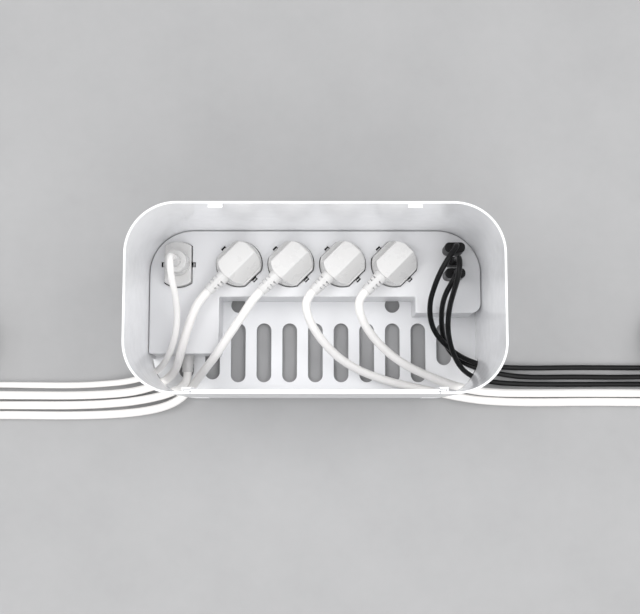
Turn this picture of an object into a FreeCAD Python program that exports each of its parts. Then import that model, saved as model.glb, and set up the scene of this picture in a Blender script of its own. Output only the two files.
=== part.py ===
"""Cable management box with a built-in power module, its plugs and its cords.

The open side faces up, the grille lies at the bottom, and the slide-in panel is at the front (-Y).
Units are millimetres. The origin is on the standing surface, under the middle of the box.
"""
import FreeCAD, Part
import math
import os

V = FreeCAD.Vector
UP = V(0, 0, 1)

# Box
BOX_LENGTH = 286.0
BOX_DEPTH = 144.0
BOX_HEIGHT = 158.0
CORNER_R = 39.0
WALL = 1.8
FLOOR_THICKNESS = 2.5
BASE_EDGE_R = 2.0
RIM_EDGE_R = 0.6
FOOT_R = 6.0
FOOT_STAND = 2.5
FOOT_SEAT = 0.6
FOOT_FROM_SIDE = 15.0
FOOT_FROM_FRONT = 22.0

# Cable exits at the two front corners
EXIT_HEIGHT = 23.0
EXIT_REACH = 34.0
EXIT_EDGE_R = 9.0

# Front panel, which slides up out of two guides
PANEL_HALF = 92.2
PANEL_END_GAP = 0.6
PANEL_RIM = 3.4
PANEL_RIM_HEIGHT = 5.0
PANEL_GROOVE = 1.0
PANEL_GROOVE_DEPTH = 2.0
TONGUE = 1.4
TONGUE_REACH = 5.5
GUIDE_CLEARANCE = 0.3
GUIDE_LIP = 1.4
GUIDE_TOP_DROP = 6.0

# Grille: slots numbered from -5 to 5 across the floor
SLOT_PITCH = 22.65
SLOT_WIDTH = 13.0
SLOT_FROM_FRONT = 13.9
SLOT_LENGTH = 52.0
SLOT_LAST = 5
SHORTER_SLOTS = {-5: 3.7, -4: 2.5, 5: 15.1}
KEYHOLE_X = 68.0
KEYHOLE_SHOWS = 9.7
KEYHOLE_NECK = 6.0
KEYHOLE_LENGTH = 24.0
KEYHOLE_HEADROOM = 5.0

# Lid catches inside the back wall
CATCH_X = 75.5
CATCH_WIDTH = 11.0
CATCH_REACH = 2.2
CATCH_HEIGHT = 5.0
CATCH_DROP = 5.0

# Power module
MODULE_HEIGHT = 39.0
MODULE_CLEARANCE = 0.5
MODULE_WALL = 2.0
MODULE_PARTING = 7.0
MODULE_LIP = 1.4
MODULE_LIP_CLEARANCE = 0.2
MODULE_LIP_HEIGHT = 4.0
BASE_PLATE = 1.6
LEFT_LOBE_DEPTH = 107.4
LEFT_LOBE_WIDTH = 61.4
MIDDLE_DEPTH = 59.0
RIGHT_LOBE_WIDTH = 58.0
RIGHT_LOBE_DEPTH = 73.0
RIGHT_LOBE_R = 9.0
LOBE_EDGE_R = 1.5
COVER_EDGE_R = 1.0

# Sockets
SOCKET_FROM_BACK = 31.0
SOCKET_PITCH = 44.0
SOCKET_ROW_MIDDLE = 1.2
SOCKET_COUNT = 4
CORNER_SOCKET_FROM_SIDE = 26.5
CORNER_SOCKET_FROM_BACK = 31.5
SOCKET_R = 20.0
SOCKET_FLAT = 17.6
CORNER_SOCKET_FLAT = 12.0
SOCKET_DEPTH = 17.5
WELL_WALL = 1.6
WELL_FLOOR = 2.0
CLIP_NOTCH = 4.4
CLIP_NOTCH_DEPTH = 2.6
DIAGONAL = 225.0

# Contacts
PIN_SPACING = 19.0
PIN_R = 2.4
PIN_LENGTH = 19.0
PIN_CLEARANCE = 0.25
SLEEVE_CLEARANCE = 0.08
SLEEVE_WALL = 0.9
SLEEVE_LENGTH = 8.0
BAR_WIDTH = 6.0
BAR_THICKNESS = 1.2
BAR_DROP = 5.5
EARTH_BAR_WIDTH = 5.0
EARTH_BAR_THICKNESS = 0.8
EARTH_BAR_DROP = 2.5
CLIP_WIDTH = 3.2
CLIP_THICKNESS = 0.8

# Plugs
PLUG_R = 19.2
PLUG_FLAT = 16.9
PLUG_SIDE_CLEARANCE = 0.7
PLUG_DISC = 23.5
HUMP_HEIGHT = 15.0
HUMP_BACK = 16.0
HUMP_FRONT = 17.5
HUMP_HALF = 12.5
HUMP_TOP_HALF = 5.0
HUMP_SLOPE_FOOT = 15.5
HUMP_EDGE_R = 1.5
RELIEF_AXIS = 8.0
RELIEF_START = 15.0
RELIEF_END = 35.0
RELIEF_BIG_R = 6.0
RELIEF_SMALL_R = 4.5
RELIEF_SLOTS = 3
RELIEF_SLOT = 1.2
RELIEF_SLOT_PITCH = 3.6
EARTH_STRIP = 0.5
EARTH_STRIP_WIDTH = 6.0
STRAIGHT_SHOULDER = 40.0
STRAIGHT_NECK_R = 9.0
STRAIGHT_RELIEF_TOP = 61.5

# USB bay
USB_FROM_SIDE = 26.2
USB_FROM_BACK = {"back": 19.6, "middle": 30.6, "front": 41.3}
USB_PORT = {"back": (13.2, 5.7), "middle": (9.6, 3.8), "front": (13.2, 5.7)}
USB_BODY = {"back": (17.0, 8.6, 20.0), "middle": (12.5, 6.6, 18.0), "front": (17.0, 8.6, 20.0)}
USB_SHELL = 0.35
USB_FIT = 0.2
USB_TONGUE = 11.0
USB_PORT_DEPTH = 22.0
USB_STAND = 0.4
USB_RELIEF = 6.0
USB_RELIEF_R = 3.1
BOARD_THICKNESS = 1.6
BOARD_FROM_SIDE = (50.0, 15.0)
BOARD_FROM_FRONT = 5.0
BOARD_FROM_BACK = 16.0

# Mains lead entry
GLAND_FROM_SIDE = 32.5
GLAND_HEIGHT = 20.0
GLAND_BIG_R = 5.8
GLAND_SMALL_R = 4.6
GLAND_LENGTH = 14.5
GLAND_FLANGE_R = 7.0
GLAND_FLANGE = 1.6
GLAND_FIT = 0.15

# Screws that hold the power module to the floor
SCREW_R = 1.5
SCREW_HEAD_R = 2.9
SCREW_HEAD = 1.4
SCREW_LENGTH = 11.0
BOSS_R = 3.6
BOSS_HEIGHT = 9.0
SCREW_FROM_SIDE = 48.0
SCREW_FROM_BACK = 11.0
SCREW_FROM_LEFT_FRONT = 10.4
SCREW_FROM_RIGHT_FRONT = 21.0

# Cords
LEAD_D = 7.2
THIN_D = 5.4
USB_D = 4.5
TURN_GAP = 1.6
ARC_SHARE = 0.45
CORD_LIFT = 0.1
COIL_BLEND = 0.25
PILE_GAP = 0.9

# Pieces on the far ends of the cords
END_RELIEF = 32.0
END_BODY = (18.0, 12.0, 24.0)
TAIL_TURNS = 0.5
TAIL_RADIUS = 0.5
END_USB_RELIEF = 18.0
END_USB_BODY = (9.0, 11.0, 16.0)
END_USB_TONGUE = (7.6, 2.4, 7.0)
END_EDGE_R = 2.0

# Worked-out places
FLOOR_TOP = FOOT_STAND + FLOOR_THICKNESS
FRONT = -BOX_DEPTH / 2
BACK = BOX_DEPTH / 2
SIDE = BOX_LENGTH / 2
FOOT_X = SIDE - FOOT_FROM_SIDE
FOOT_Y = BACK - FOOT_FROM_FRONT
EXIT_SIDE_Y = FRONT + EXIT_REACH
SLOT_FRONT = FRONT + SLOT_FROM_FRONT
SLOT_BACK = SLOT_FRONT + SLOT_LENGTH
LEFT_LOBE_FRONT = BACK - LEFT_LOBE_DEPTH
LEFT_LOBE_END = LEFT_LOBE_WIDTH - SIDE
MIDDLE_FRONT = BACK - MIDDLE_DEPTH
RIGHT_LOBE_START = SIDE - RIGHT_LOBE_WIDTH
RIGHT_LOBE_FRONT = BACK - RIGHT_LOBE_DEPTH
KEYHOLE_FRONT = MIDDLE_FRONT - KEYHOLE_SHOWS
SOCKET_Y = BACK - SOCKET_FROM_BACK
FIRST_SOCKET_X = SOCKET_ROW_MIDDLE - (SOCKET_COUNT - 1) * SOCKET_PITCH / 2
CORNER_SOCKET_X = CORNER_SOCKET_FROM_SIDE - SIDE
CORNER_SOCKET_Y = BACK - CORNER_SOCKET_FROM_BACK
USB_X = SIDE - USB_FROM_SIDE
USB_Y = {key: BACK - inset for key, inset in USB_FROM_BACK.items()}
BOARD_X = [SIDE - inset for inset in BOARD_FROM_SIDE]
BOARD_Y = [RIGHT_LOBE_FRONT + BOARD_FROM_FRONT, BACK - BOARD_FROM_BACK]
GLAND_X = GLAND_FROM_SIDE - SIDE
SCREW_X = SIDE - SCREW_FROM_SIDE
SCREW_PLACES = ((-SCREW_X, BACK - SCREW_FROM_BACK), (SCREW_X, BACK - SCREW_FROM_BACK),
                (-SCREW_X, LEFT_LOBE_FRONT + SCREW_FROM_LEFT_FRONT),
                (SCREW_X, RIGHT_LOBE_FRONT + SCREW_FROM_RIGHT_FRONT))
COVER_TOP = FLOOR_TOP + MODULE_HEIGHT
PLUG_FACE = COVER_TOP - SOCKET_DEPTH
WELL_BOTTOM = PLUG_FACE - WELL_FLOOR
COVER_BOTTOM = FLOOR_TOP + MODULE_PARTING
PLATE_TOP = FLOOR_TOP + BASE_PLATE
CORD_AXIS = PLUG_FACE + PLUG_DISC + RELIEF_AXIS
BAR_TOP = WELL_BOTTOM - BAR_DROP
EARTH_BAR_TOP = WELL_BOTTOM - EARTH_BAR_DROP
PARTS = {}


def add(name, shape):
    """Keep one piece and refuse one that isn't a sound solid."""
    if not shape.isValid() or shape.Volume <= 0:
        raise ValueError(name + " is not a sound solid")
    PARTS[name] = shape


def block(x, y, z):
    """A box from three (low, high) pairs."""
    return Part.makeBox(x[1] - x[0], y[1] - y[0], z[1] - z[0], V(x[0], y[0], z[0]))


def corner_arc(before, corner, after, radius):
    """Start, middle and end of the arc that rounds a corner of a path."""
    back = (before - corner).normalize()
    ahead = (after - corner).normalize()
    half = back.getAngle(ahead) / 2
    centre = corner + (back + ahead).normalize() * (radius / math.sin(half))
    reach = radius / math.tan(half)
    middle = centre + (corner - centre).normalize() * radius
    return corner + back * reach, middle, corner + ahead * reach


def outline(corners, z):
    """A closed wire through corners given as (x, y, radius)."""
    points = [V(x, y, z) for x, y, _ in corners]
    count = len(points)
    ends = []
    for i, (_, _, radius) in enumerate(corners):
        if radius:
            ends.append(corner_arc(points[i - 1], points[i], points[(i + 1) % count], radius))
        else:
            ends.append((points[i], None, points[i]))
    edges = []
    for i, (start, middle, end) in enumerate(ends):
        if middle is not None:
            edges.append(Part.Arc(start, middle, end).toShape())
        following = ends[(i + 1) % count][0]
        if end.distanceToPoint(following) > 1e-6:
            edges.append(Part.LineSegment(end, following).toShape())
    return Part.Wire(edges)


def prism(corners, low, high):
    return Part.Face(outline(corners, low)).extrude(V(0, 0, high - low))


def rectangle(half_x, half_y, radius):
    return [(-half_x, -half_y, radius), (half_x, -half_y, radius),
            (half_x, half_y, radius), (-half_x, half_y, radius)]


def slot_prism(x, front, back, width, low, high):
    """A round-ended slot that runs along Y."""
    half = width / 2
    body = block((x - half, x + half), (front + half, back - half), (low, high))
    for y in (front + half, back - half):
        body = body.fuse(Part.makeCylinder(half, high - low, V(x, y, low)))
    return body.removeSplitter()


def edges_at(shape, z):
    """Edges that lie wholly at one height."""
    return [e for e in shape.Edges
            if abs(e.BoundBox.ZMin - z) < 1e-4 and abs(e.BoundBox.ZMax - z) < 1e-4]


def turned(shape, degrees, place):
    """A copy turned about Z and then moved."""
    copy = shape.copy()
    copy.rotate(V(0, 0, 0), UP, degrees)
    copy.translate(place)
    return copy


def inner_outline(gap):
    """The room inside the walls, less a gap all round."""
    inset = WALL + gap
    return rectangle(SIDE - inset, BACK - inset, CORNER_R - inset)


# Box

def box_body():
    base = prism(rectangle(SIDE, BACK, CORNER_R), FOOT_STAND, BOX_HEIGHT)
    base = base.makeFillet(BASE_EDGE_R, edges_at(base, FOOT_STAND))
    body = base.cut(prism(inner_outline(0), FLOOR_TOP, BOX_HEIGHT + 1))
    body = body.makeFillet(RIM_EDGE_R, edges_at(body, BOX_HEIGHT))
    body = body.cut(block((-PANEL_HALF, PANEL_HALF), (FRONT - 1, FRONT + WALL), (FLOOR_TOP, BOX_HEIGHT + 1)))
    body = body.cut(exit_cutters()).cut(grille_cutters())
    seats = [Part.makeCylinder(FOOT_R + 0.1, FOOT_SEAT, V(x, y, FOOT_STAND)) for x, y in foot_places()]
    body = body.cut(seats).cut(screw_cutters())
    extras = [panel_guide(side) for side in (-1, 1)] + [lid_catch(x) for x in (-CATCH_X, CATCH_X)]
    return body.fuse(extras)


def exit_cutters():
    """A low window round each front corner, rounded where it starts on the side wall."""
    top = FLOOR_TOP + EXIT_HEIGHT
    cutters = []
    for side in (-1, 1):
        window = block((PANEL_HALF, SIDE + 1), (FRONT - 1, EXIT_SIDE_Y), (FLOOR_TOP, top))
        upper = [e for e in window.Edges if abs(e.CenterOfMass.y - EXIT_SIDE_Y) < 1e-4
                 and abs(e.CenterOfMass.z - top) < 1e-4]
        window = window.makeFillet(EXIT_EDGE_R, upper)
        cutters.append(window if side > 0 else window.mirror(V(0, 0, 0), V(1, 0, 0)))
    return cutters


def grille_cutters():
    low, high = FOOT_STAND - 1, FLOOR_TOP + 1
    cutters = []
    for k in range(-SLOT_LAST, SLOT_LAST + 1):
        front = SLOT_FRONT + SHORTER_SLOTS.get(k, 0.0)
        cutters.append(slot_prism(k * SLOT_PITCH, front, SLOT_BACK, SLOT_WIDTH, low, high))
    for x in (-KEYHOLE_X, KEYHOLE_X):
        wide = KEYHOLE_FRONT + SLOT_WIDTH
        cutters.append(Part.makeCylinder(SLOT_WIDTH / 2, high - low, V(x, wide - SLOT_WIDTH / 2, low)))
        cutters.append(slot_prism(x, wide - SLOT_WIDTH, KEYHOLE_FRONT + KEYHOLE_LENGTH, KEYHOLE_NECK, low, high))
    return cutters


def foot_places():
    return [(sx * FOOT_X, sy * FOOT_Y) for sx in (-1, 1) for sy in (-1, 1)]


def screw_cutters():
    cutters = []
    for x, y in SCREW_PLACES:
        cutters.append(Part.makeCylinder(SCREW_R + 0.2, FLOOR_THICKNESS + 2, V(x, y, FOOT_STAND - 1)))
        cutters.append(Part.makeCylinder(SCREW_HEAD_R + 0.2, SCREW_HEAD + 1, V(x, y, FOOT_STAND - 1)))
    return cutters


def panel_guide(side):
    """An L-shaped rib behind the wall's end, which holds the panel's tongue."""
    low = FLOOR_TOP + EXIT_HEIGHT
    high = BOX_HEIGHT - GUIDE_TOP_DROP
    wall_face = FRONT + WALL
    lip = wall_face + TONGUE + 2 * GUIDE_CLEARANCE
    stop = PANEL_HALF - PANEL_END_GAP + TONGUE_REACH + GUIDE_CLEARANCE
    foot = block((stop, stop + GUIDE_LIP), (wall_face - WALL / 2, lip + GUIDE_LIP), (low, high))
    rib = foot.fuse(block((PANEL_HALF, stop + GUIDE_LIP), (lip, lip + GUIDE_LIP), (low, high))).removeSplitter()
    return rib if side > 0 else rib.mirror(V(0, 0, 0), V(1, 0, 0))


def lid_catch(x):
    """A wedge on the back wall, flat on top and sloping below."""
    face = BACK - WALL
    top = BOX_HEIGHT - CATCH_DROP
    profile = [V(x - CATCH_WIDTH / 2, face + WALL / 2, top), V(x - CATCH_WIDTH / 2, face - CATCH_REACH, top),
               V(x - CATCH_WIDTH / 2, face, top - CATCH_HEIGHT),
               V(x - CATCH_WIDTH / 2, face + WALL / 2, top - CATCH_HEIGHT)]
    return Part.Face(Part.makePolygon(profile + profile[:1])).extrude(V(CATCH_WIDTH, 0, 0))


def rubber_feet():
    feet = []
    for x, y in foot_places():
        foot = Part.makeCylinder(FOOT_R, FOOT_STAND + FOOT_SEAT, V(x, y, 0))
        feet.append(foot.makeFillet(0.8, edges_at(foot, 0)))
    return Part.makeCompound(feet)


def front_panel():
    half = PANEL_HALF - PANEL_END_GAP
    inner = FRONT + WALL
    plate = block((-half, half), (FRONT, inner), (FLOOR_TOP, BOX_HEIGHT))
    rim = block((-half, half), (FRONT, FRONT + PANEL_RIM), (BOX_HEIGHT - PANEL_RIM_HEIGHT, BOX_HEIGHT))
    panel = plate.fuse(rim).removeSplitter()
    panel = panel.makeFillet(RIM_EDGE_R, [e for e in edges_at(panel, BOX_HEIGHT) if e.Length > half])
    middle = FRONT + PANEL_RIM / 2
    groove = block((-half - 1, half + 1), (middle - PANEL_GROOVE / 2, middle + PANEL_GROOVE / 2),
                   (BOX_HEIGHT - PANEL_GROOVE_DEPTH, BOX_HEIGHT + 1))
    panel = panel.cut(groove)
    low = FLOOR_TOP + EXIT_HEIGHT + GUIDE_CLEARANCE
    high = BOX_HEIGHT - GUIDE_TOP_DROP
    tongue = (inner + GUIDE_CLEARANCE, inner + GUIDE_CLEARANCE + TONGUE)
    for side in (-1, 1):
        jog = block((half - TONGUE_REACH, half), (inner - WALL / 2, tongue[1]), (low, high))
        ear = block((half - TONGUE_REACH, half + TONGUE_REACH), tongue, (low, high))
        both = jog.fuse(ear)
        panel = panel.fuse(both if side > 0 else both.mirror(V(0, 0, 0), V(1, 0, 0)))
    return panel.removeSplitter()


# Power module

def module_outline(inset):
    """The module seen from above: a left lobe, a set-back middle and a right lobe."""
    room = MODULE_CLEARANCE + WALL + inset
    left, right, back = -(SIDE - room), SIDE - room, BACK - room
    big = CORNER_R - room
    convex = max(LOBE_EDGE_R - inset, 0.3)
    concave = LOBE_EDGE_R + inset
    return [(left, LEFT_LOBE_FRONT + inset, convex), (LEFT_LOBE_END - inset, LEFT_LOBE_FRONT + inset, convex),
            (LEFT_LOBE_END - inset, MIDDLE_FRONT + inset, concave),
            (RIGHT_LOBE_START + inset, MIDDLE_FRONT + inset, concave),
            (RIGHT_LOBE_START + inset, RIGHT_LOBE_FRONT + inset, convex),
            (right, RIGHT_LOBE_FRONT + inset, RIGHT_LOBE_R - inset), (right, back, big), (left, back, big)]


def sockets():
    """Name, place, direction of the cord, and half width across the flats of each socket."""
    rows = [("corner", V(CORNER_SOCKET_X, CORNER_SOCKET_Y, 0), 90.0, CORNER_SOCKET_FLAT)]
    for i in range(SOCKET_COUNT):
        rows.append((str(i + 1), V(FIRST_SOCKET_X + i * SOCKET_PITCH, SOCKET_Y, 0), DIAGONAL, SOCKET_FLAT))
    return rows


def disc(radius, flat, low, high):
    """A round disc with two flats, which face along Y."""
    return Part.makeCylinder(radius, high - low, V(0, 0, low)).common(
        block((-radius, radius), (-flat, flat), (low, high)))


def socket_hole(flat, low, high):
    """The recess and the two clip notches beside its flats."""
    reach = flat + CLIP_NOTCH_DEPTH
    notch = block((-CLIP_NOTCH / 2, CLIP_NOTCH / 2), (-reach, reach), (low, high))
    return disc(SOCKET_R, flat, low, high).fuse(notch).removeSplitter()


def module_cover():
    cover = prism(module_outline(0), COVER_BOTTOM, COVER_TOP)
    cover = cover.makeFillet(COVER_EDGE_R, edges_at(cover, COVER_TOP))
    cover = cover.cut(prism(module_outline(MODULE_WALL), COVER_BOTTOM - 1, COVER_TOP - MODULE_WALL))
    holes = [turned(socket_hole(flat, COVER_TOP - MODULE_WALL - 1, COVER_TOP + 1), angle, place)
             for _, place, angle, flat in sockets()]
    for key, y in USB_Y.items():
        w, h = USB_PORT[key]
        holes.append(block((USB_X - w / 2 - USB_FIT, USB_X + w / 2 + USB_FIT),
                           (y - h / 2 - USB_FIT, y + h / 2 + USB_FIT),
                           (COVER_TOP - MODULE_WALL - 1, COVER_TOP + 1)))
    holes.append(gland_hole())
    return cover.cut(holes)


def gland_hole():
    return Part.makeCylinder(GLAND_BIG_R + GLAND_FIT, MODULE_WALL + 2,
                             V(GLAND_X, LEFT_LOBE_FRONT - 1, GLAND_HEIGHT), V(0, 1, 0))


def module_base():
    outside = prism(module_outline(0), FLOOR_TOP, COVER_BOTTOM)
    lip_out = MODULE_WALL + MODULE_LIP_CLEARANCE
    lip = prism(module_outline(lip_out), FLOOR_TOP, COVER_BOTTOM + MODULE_LIP_HEIGHT)
    tub = outside.fuse(lip).cut(prism(module_outline(lip_out + MODULE_LIP), PLATE_TOP, COVER_TOP))
    bosses = [Part.makeCylinder(BOSS_R, BOSS_HEIGHT, V(x, y, PLATE_TOP - 0.5)) for x, y in SCREW_PLACES]
    tub = tub.fuse(bosses)
    drill = [Part.makeCylinder(SCREW_R + 0.05, SCREW_LENGTH, V(x, y, FLOOR_TOP - 1)) for x, y in SCREW_PLACES]
    return tub.cut(drill).cut(keyhole_pockets()).cut(gland_channel())


def keyhole_pockets():
    """Room for a screw head above each keyhole, open through the plate."""
    wide = SLOT_WIDTH + 3
    back = KEYHOLE_FRONT + KEYHOLE_LENGTH + 4
    return [block((x - wide / 2, x + wide / 2), (MIDDLE_FRONT - 1, back), (FLOOR_TOP - 1, FLOOR_TOP + KEYHOLE_HEADROOM))
            for x in (-KEYHOLE_X, KEYHOLE_X)]


def gland_channel():
    """A notch in the lip so that the lead can pass in."""
    return Part.makeCylinder(GLAND_FLANGE_R + 0.3, 2 * MODULE_WALL + MODULE_LIP + 2,
                             V(GLAND_X, LEFT_LOBE_FRONT + MODULE_WALL / 2, GLAND_HEIGHT), V(0, 1, 0))


def socket_well(place, angle, flat):
    top = COVER_TOP - MODULE_WALL
    outer = disc(SOCKET_R + WELL_WALL, flat + CLIP_NOTCH_DEPTH + WELL_WALL, WELL_BOTTOM, top)
    well = outer.cut(disc(SOCKET_R, flat, PLUG_FACE, top + 1))
    reach = flat + CLIP_NOTCH_DEPTH
    for side in (-1, 1):
        slot = block((-CLIP_NOTCH / 2, CLIP_NOTCH / 2), sorted((side * (flat - 1), side * reach)),
                     (WELL_BOTTOM - 1, top + 1))
        well = well.cut(slot)
        hole = Part.makeCylinder(PIN_R + PIN_CLEARANCE, WELL_FLOOR + 2,
                                 V(side * PIN_SPACING / 2, 0, WELL_BOTTOM - 1))
        well = well.cut(hole)
    inside = prism(module_outline(MODULE_WALL + 0.1), WELL_BOTTOM, top)
    return turned(well, angle, place).common(inside)


def pin_places(place, angle):
    arm = V(math.cos(math.radians(angle)), math.sin(math.radians(angle)), 0) * (PIN_SPACING / 2)
    return place + arm, place - arm


def contact_bar(which):
    """A brass bar with one sleeve per socket, for the pins on one side."""
    spots = [pin_places(place, angle)[which if angle == DIAGONAL else 1 - which]
             for _, place, angle, _ in sockets()]
    y = spots[1].y
    first, last = spots[0].x, spots[-1].x + BAR_WIDTH
    low = BAR_TOP - BAR_THICKNESS
    bar = block((first - BAR_WIDTH / 2, last), (y - BAR_WIDTH / 2, y + BAR_WIDTH / 2), (low, BAR_TOP))
    outer_r = PIN_R + SLEEVE_CLEARANCE + SLEEVE_WALL
    bar = bar.fuse([Part.makeCylinder(outer_r, SLEEVE_LENGTH, V(p.x, p.y, BAR_TOP - SLEEVE_LENGTH)) for p in spots])
    drill = [Part.makeCylinder(PIN_R + SLEEVE_CLEARANCE, SLEEVE_LENGTH + 2, V(p.x, p.y, BAR_TOP - SLEEVE_LENGTH - 1))
             for p in spots]
    return bar.cut(drill).removeSplitter()


def earth_bar():
    """One bar with two springy clips that rise beside each socket."""
    low = EARTH_BAR_TOP - EARTH_BAR_THICKNESS
    half = EARTH_BAR_WIDTH / 2
    rows = sockets()
    first, last = rows[0][1].x, rows[-1][1].x
    bar = block((first, last), (SOCKET_Y - half, SOCKET_Y + half), (low, EARTH_BAR_TOP))
    pieces = []
    for _, place, angle, flat in rows:
        out = flat + CLIP_THICKNESS + 0.5
        arm = block((-CLIP_WIDTH / 2, CLIP_WIDTH / 2), (-out, out), (low, EARTH_BAR_TOP))
        for side in (-1, 1):
            blade = block((-CLIP_WIDTH / 2, CLIP_WIDTH / 2), sorted((side * (out - CLIP_THICKNESS), side * out)),
                          (low, COVER_TOP - MODULE_WALL))
            arm = arm.fuse(blade)
        pieces.append(turned(arm, angle, place))
    return bar.fuse(pieces).removeSplitter()


def usb_board():
    """The board under the ports, with its coil, capacitor and connector blocks."""
    top = COVER_TOP - USB_PORT_DEPTH
    board = block(BOARD_X, BOARD_Y, (top - BOARD_THICKNESS, top))
    left, right, front = BOARD_X[0], BOARD_X[1], BOARD_Y[0]
    ports = USB_Y["front"] - USB_PORT["front"][1]
    transformer = block((left + 5.0, left + 16.0), (front + 4.0, front + 16.0), (top, top + 11.0))
    capacitor = Part.makeCylinder(4.0, 12.0, V(right - 8.0, front + 9.0, top))
    regulator = block((right - 14.0, right - 4.0), (ports - 5.0, ports), (top, top + 3.0))
    posts = [Part.makeCylinder(2.2, top - BOARD_THICKNESS - PLATE_TOP, V(x, y, PLATE_TOP))
             for x, y in ((BOARD_X[0] + 5, BOARD_Y[1] - 8), (BOARD_X[1] - 4, BOARD_Y[0] + 4))]
    return board.fuse([transformer, capacitor, regulator] + posts)


def usb_ports():
    low = COVER_TOP - USB_PORT_DEPTH
    ports = []
    for key, y in USB_Y.items():
        w, h = USB_PORT[key]
        shell = prism([(USB_X + x, y + v, r) for x, v, r in rectangle(w / 2, h / 2, h / 5)], low, COVER_TOP)
        mouth = prism([(USB_X + x, y + v, r) for x, v, r in
                       rectangle(w / 2 - USB_SHELL, h / 2 - USB_SHELL, h / 5 - USB_SHELL / 2)],
                      COVER_TOP - USB_TONGUE - 2, COVER_TOP + 1)
        ports.append(shell.cut(mouth))
    return Part.makeCompound(ports)


def module_screws():
    screws = []
    for x, y in SCREW_PLACES:
        head = Part.makeCylinder(SCREW_HEAD_R, SCREW_HEAD, V(x, y, FOOT_STAND))
        slot = block((x - 2, x + 2), (y - 0.4, y + 0.4), (FOOT_STAND - 1, FOOT_STAND + 0.7))
        screws.append(head.cut(slot).fuse(Part.makeCylinder(SCREW_R, SCREW_LENGTH - 2, V(x, y, FOOT_STAND + SCREW_HEAD))))
    return Part.makeCompound(screws)


def lead_gland():
    """The tapered strain relief of the mains lead, held by a flange behind the cover's wall."""
    root = LEFT_LOBE_FRONT + MODULE_WALL
    axis = V(0, -1, 0)
    body = Part.makeCylinder(GLAND_BIG_R, MODULE_WALL, V(GLAND_X, root, GLAND_HEIGHT), axis)
    cone = Part.makeCone(GLAND_BIG_R, GLAND_SMALL_R, GLAND_LENGTH, V(GLAND_X, LEFT_LOBE_FRONT, GLAND_HEIGHT), axis)
    flange = Part.makeCylinder(GLAND_FLANGE_R, GLAND_FLANGE, V(GLAND_X, root + GLAND_FLANGE, GLAND_HEIGHT), axis)
    gland = body.fuse([cone, flange])
    for i in range(RELIEF_SLOTS):
        y = LEFT_LOBE_FRONT - 4 - i * RELIEF_SLOT_PITCH
        ring = Part.makeCylinder(GLAND_BIG_R + 1, RELIEF_SLOT, V(GLAND_X, y, GLAND_HEIGHT), axis).cut(
            Part.makeCylinder(GLAND_SMALL_R - 0.6, RELIEF_SLOT, V(GLAND_X, y, GLAND_HEIGHT), axis))
        gland = gland.cut(ring.common(block((GLAND_X - 9, GLAND_X + 9), (y - RELIEF_SLOT, y),
                                            (GLAND_HEIGHT - 2.2, GLAND_HEIGHT + 2.2))))
    return gland.removeSplitter()


# Plugs

def plug_places():
    for name, place, angle, flat in sockets():
        yield name, place + V(0, 0, PLUG_FACE), angle, flat


def angled_plug():
    """An earthed plug whose cord leaves sideways, cord along +X, pins down."""
    body = disc(PLUG_R, PLUG_FLAT, 0, PLUG_DISC)
    body = body.makeFillet(1.2, edges_at(body, PLUG_DISC))
    top = PLUG_DISC + HUMP_HEIGHT
    low = PLUG_DISC - 2
    profile = [V(-HUMP_BACK, -HUMP_HALF, low), V(-HUMP_BACK, -HUMP_HALF + 1, top), V(-HUMP_BACK, HUMP_TOP_HALF, top),
               V(-HUMP_BACK, HUMP_SLOPE_FOOT, PLUG_DISC + 1), V(-HUMP_BACK, HUMP_SLOPE_FOOT, low)]
    hump = Part.Face(Part.makePolygon(profile + profile[:1])).extrude(V(HUMP_BACK + HUMP_FRONT, 0, 0))
    hump = hump.makeFillet(HUMP_EDGE_R, edges_at(hump, top))
    hump = hump.common(Part.makeCone(PLUG_R - 0.2, PLUG_R - 3.0, top - low, V(0, 0, low)))
    axis = PLUG_DISC + RELIEF_AXIS
    relief = Part.makeCone(RELIEF_BIG_R, RELIEF_SMALL_R, RELIEF_END - RELIEF_START,
                           V(RELIEF_START, 0, axis), V(1, 0, 0))
    for i in range(RELIEF_SLOTS):
        x = RELIEF_END - 5 - i * RELIEF_SLOT_PITCH
        for side in (-1, 1):
            relief = relief.cut(block((x - RELIEF_SLOT, x), sorted((side * 2.2, side * 9)), (axis - 9, axis + 9)))
    plug = body.fuse([hump, relief])
    return plug.cut(earth_recesses(PLUG_FLAT)).removeSplitter()


def earth_recesses(flat):
    """The two grooves in the flats that hold the earth strips."""
    return [block((-EARTH_STRIP_WIDTH / 2, EARTH_STRIP_WIDTH / 2), sorted((side * (flat - EARTH_STRIP), side * (flat + 1))),
                  (-1, PLUG_DISC - 4)) for side in (-1, 1)]


def plug_contacts(flat):
    """Two round pins and two earth strips."""
    pins = []
    for side in (-1, 1):
        pin = Part.makeCylinder(PIN_R, PIN_LENGTH, V(side * PIN_SPACING / 2, 0, -PIN_LENGTH))
        pins.append(pin.makeFillet(PIN_R * 0.6, edges_at(pin, -PIN_LENGTH)))
        pins.append(block((-EARTH_STRIP_WIDTH / 2, EARTH_STRIP_WIDTH / 2),
                          sorted((side * (flat - EARTH_STRIP), side * flat)), (0, PLUG_DISC - 4)))
    return Part.makeCompound(pins)


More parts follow.
